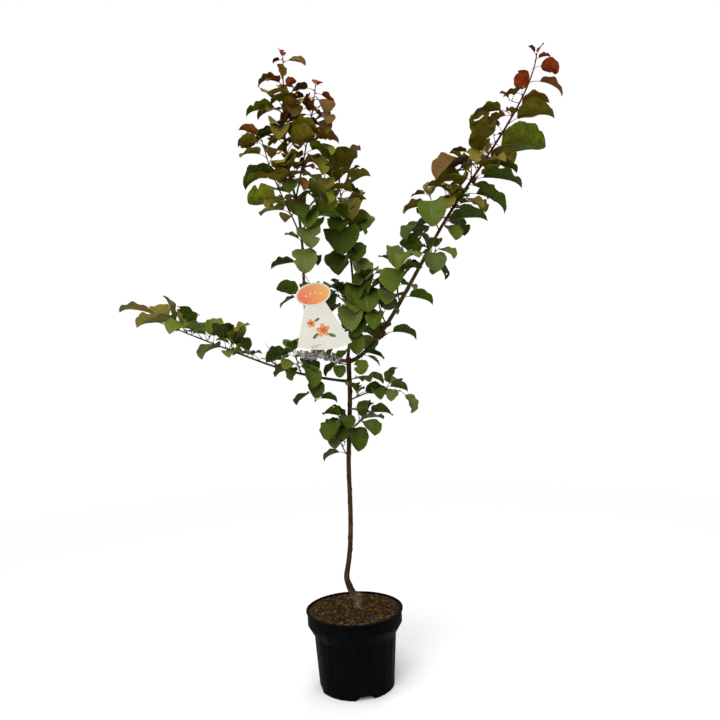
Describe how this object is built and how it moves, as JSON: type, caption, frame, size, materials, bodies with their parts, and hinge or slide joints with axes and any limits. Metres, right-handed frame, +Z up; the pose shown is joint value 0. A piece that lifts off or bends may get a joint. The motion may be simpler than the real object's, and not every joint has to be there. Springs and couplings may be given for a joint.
{
  "type": "potted apricot tree",
  "caption": "Young open-crowned apricot tree with a slim trunk, spreading boughs and folded broad leaves, in a round black nursery pot, with a plain hang tag.",
  "frame": {"origin": "centre of the flat underside of the pot", "axes": "+Z up along the pot's axis; -Y towards the side that the tag faces; +X along the tall right-hand bough"},
  "size_m": [1.1373, 0.3697, 1.6318],
  "materials": {
    "pot_plastic": "black thermoformed plastic with a faint satin sheen",
    "soil": "moist bark and peat substrate, matte",
    "bark": "smooth red-brown bark with fine pores",
    "young_bark": "dark red-brown young bark, slightly glossy",
    "foliage": "semi-gloss green leaves, bronze at the tips",
    "tag_card": "white printed plastic sheet"
  },
  "bodies": {
    "root": {"pot": "pot_plastic", "soil": "soil", "trunk": "bark", "bough_left": "young_bark", "bough_right": "young_bark", "bough_upper_left_foot": "young_bark", "bough_upper_left": "young_bark", "bough_center": "young_bark", "foliage_right_top": "foliage", "foliage_upper_left": "foliage", "foliage_second_leader": "foliage", "foliage_upper_left_side": "foliage", "foliage_upper_left_inner": "foliage", "foliage_tag_top": "foliage", "foliage_tag_side": "foliage", "foliage_tag_behind": "foliage", "foliage_center_top": "foliage", "foliage_center_left": "foliage", "foliage_center_right": "foliage", "foliage_center_front": "foliage", "foliage_right_inner": "foliage", "foliage_right_bough": "foliage", "foliage_right_low": "foliage", "foliage_right_outer": "foliage", "foliage_left_tip": "foliage", "foliage_left_inner": "foliage", "foliage_left_hanging": "foliage", "foliage_fork_right": "foliage", "foliage_fork_left": "foliage", "foliage_trunk_upper": "foliage", "foliage_low_right": "foliage", "foliage_low_cluster_right": "foliage", "foliage_low_cluster_left": "foliage", "foliage_low_cluster_front": "foliage", "foliage_low_left": "foliage", "hang_tag": "tag_card"}
  },
  "joints": []
}
